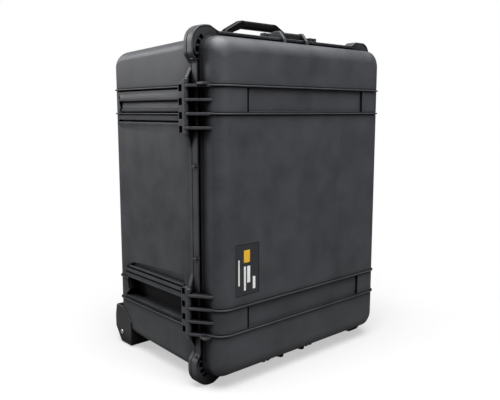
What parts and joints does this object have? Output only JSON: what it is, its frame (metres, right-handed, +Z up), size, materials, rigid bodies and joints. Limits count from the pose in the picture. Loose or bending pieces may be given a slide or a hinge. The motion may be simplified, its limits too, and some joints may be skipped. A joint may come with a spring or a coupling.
{
  "type": "telescope carry case",
  "caption": "Tall wheeled hard case with ribbed clamshell halves, double-throw latches, folding handles, a pull-out trolley and a foam bay for a telescope.",
  "frame": {"origin": "on the floor, under the middle of the bounding box, with the case standing on its wheel end", "axes": "+Z up, from the wheel end to the raised top handle; -Y out of the lid's face, +Y towards the wheels and trolley; -X the hinge side, +X the side with two latches"},
  "size_m": [0.492, 0.3552, 0.6625],
  "materials": {
    "shell_plastic": "dark grey polypropylene with a fine moulded grain",
    "hard_plastic": "black glass-filled nylon, satin",
    "grip_rubber": "black overmoulded grip rubber",
    "seal_rubber": "matt black sealing rubber",
    "steel": "stainless steel, brushed",
    "tyre_rubber": "black polyurethane tyre",
    "foam": "open-cell charcoal foam",
    "label": "dark printed label with plain bars"
  },
  "bodies": {
    "base": {"base_shell": "shell_plastic", "base_foam": "foam", "hinge_pin_upper": "steel", "hinge_pin_lower": "steel", "wheel_bracket_left": "hard_plastic", "wheel_bracket_right": "hard_plastic", "wheel_axle_left": "steel", "wheel_axle_right": "steel", "trolley_rail_left": "hard_plastic", "trolley_rail_right": "hard_plastic", "pressure_valve": "hard_plastic", "pressure_valve_seal": "seal_rubber", "latch_lever_pin_side_upper": "steel", "latch_lever_pin_side_lower": "steel", "latch_lever_pin_top": "steel", "latch_lever_pin_wheel_end": "steel", "handle_pin_top_a": "steel", "handle_pin_top_b": "steel", "handle_pin_side_a": "steel", "handle_pin_side_b": "steel", "handle_pin_wheel_end_a": "steel", "handle_pin_wheel_end_b": "steel"},
    "lid": {"lid_shell": "shell_plastic", "lid_gasket": "seal_rubber", "lid_foam": "foam", "name_label": "label", "padlock_plate_upper": "steel", "padlock_plate_lower": "steel"},
    "lever_side_upper": {"latch_lever_side_upper": "hard_plastic", "latch_hook_pin_side_upper": "steel"},
    "hook_side_upper": {"latch_hook_side_upper": "hard_plastic"},
    "lever_side_lower": {"latch_lever_side_lower": "hard_plastic", "latch_hook_pin_side_lower": "steel"},
    "hook_side_lower": {"latch_hook_side_lower": "hard_plastic"},
    "lever_top": {"latch_lever_top": "hard_plastic", "latch_hook_pin_top": "steel"},
    "hook_top": {"latch_hook_top": "hard_plastic"},
    "lever_wheel_end": {"latch_lever_wheel_end": "hard_plastic", "latch_hook_pin_wheel_end": "steel"},
    "hook_wheel_end": {"latch_hook_wheel_end": "hard_plastic"},
    "handle_top": {"handle_top": "hard_plastic", "handle_grip_top": "grip_rubber"},
    "handle_side": {"handle_side": "hard_plastic", "handle_grip_side": "grip_rubber"},
    "handle_wheel_end": {"handle_wheel_end": "hard_plastic", "handle_grip_wheel_end": "grip_rubber"},
    "wheel_left": {"wheel_tyre_left": "tyre_rubber", "wheel_hub_left": "hard_plastic", "wheel_bearing_inner_left": "steel", "wheel_bearing_outer_left": "steel"},
    "wheel_right": {"wheel_tyre_right": "tyre_rubber", "wheel_hub_right": "hard_plastic", "wheel_bearing_inner_right": "steel", "wheel_bearing_outer_right": "steel"},
    "trolley": {"trolley_frame": "hard_plastic", "trolley_grip": "grip_rubber"},
    "release_button": {"trolley_release_button": "hard_plastic"}
  },
  "joints": [
    {"name": "lid_hinge", "type": "hinge", "parent": "base", "child": "lid", "pos_m": [-0.2408, -0.1164, 0.315], "axis": [0, 0, -1], "range_deg": [0, 100]},
    {"name": "latch_side_upper", "type": "hinge", "parent": "base", "child": "lever_side_upper", "pos_m": [0.236, -0.0944, 0.5061], "axis": [0, 0, -1], "range_deg": [0, 90]},
    {"name": "latch_hook_side_upper", "type": "hinge", "parent": "lever_side_upper", "child": "hook_side_upper", "pos_m": [0.2402, -0.0824, 0.5061], "axis": [0, 0, 1], "range_deg": [0, 105]},
    {"name": "latch_side_lower", "type": "hinge", "parent": "base", "child": "lever_side_lower", "pos_m": [0.236, -0.0944, 0.1239], "axis": [0, 0, -1], "range_deg": [0, 90]},
    {"name": "latch_hook_side_lower", "type": "hinge", "parent": "lever_side_lower", "child": "hook_side_lower", "pos_m": [0.2402, -0.0824, 0.1239], "axis": [0, 0, 1], "range_deg": [0, 105]},
    {"name": "latch_top", "type": "hinge", "parent": "base", "child": "lever_top", "pos_m": [0, -0.0944, 0.619], "axis": [1, 0, 0], "range_deg": [0, 90]},
    {"name": "latch_hook_top", "type": "hinge", "parent": "lever_top", "child": "hook_top", "pos_m": [0, -0.0824, 0.6232], "axis": [-1, 0, 0], "range_deg": [0, 105]},
    {"name": "latch_wheel_end", "type": "hinge", "parent": "base", "child": "lever_wheel_end", "pos_m": [0, -0.0944, 0.011], "axis": [-1, 0, 0], "range_deg": [0, 90]},
    {"name": "latch_hook_wheel_end", "type": "hinge", "parent": "lever_wheel_end", "child": "hook_wheel_end", "pos_m": [0, -0.0824, 0.0068], "axis": [1, 0, 0], "range_deg": [0, 105]},
    {"name": "handle_top", "type": "hinge", "parent": "base", "child": "handle_top", "pos_m": [0, -0.0284, 0.62], "axis": [-1, 0, 0], "range_deg": [0, 90]},
    {"name": "handle_side", "type": "hinge", "parent": "base", "child": "handle_side", "pos_m": [0.237, -0.0284, 0.315], "axis": [0, 0, -1], "range_deg": [0, 90]},
    {"name": "handle_wheel_end", "type": "hinge", "parent": "base", "child": "handle_wheel_end", "pos_m": [0, -0.0284, 0.01], "axis": [-1, 0, 0], "range_deg": [0, 90]},
    {"name": "wheel_left", "type": "hinge", "parent": "base", "child": "wheel_left", "pos_m": [-0.194, 0.1506, 0.025], "axis": [1, 0, 0], "continuous": true},
    {"name": "wheel_right", "type": "hinge", "parent": "base", "child": "wheel_right", "pos_m": [0.194, 0.1506, 0.025], "axis": [1, 0, 0], "continuous": true},
    {"name": "trolley_slide", "type": "slide", "parent": "base", "child": "trolley", "axis": [0, 0, 1], "range_m": [0, 0.4]},
    {"name": "release_button", "type": "slide", "parent": "trolley", "child": "release_button", "axis": [0, 0, -1], "range_m": [0, 0.004], "stiffness_N_per_m": 400}
  ],
  "couplings": [
    {"joint": "latch_hook_side_upper", "follows": "latch_side_upper", "ratio": 1.1},
    {"joint": "latch_hook_side_lower", "follows": "latch_side_lower", "ratio": 1.1},
    {"joint": "latch_hook_top", "follows": "latch_top", "ratio": 1.1},
    {"joint": "latch_hook_wheel_end", "follows": "latch_wheel_end", "ratio": 1.1}
  ]
}
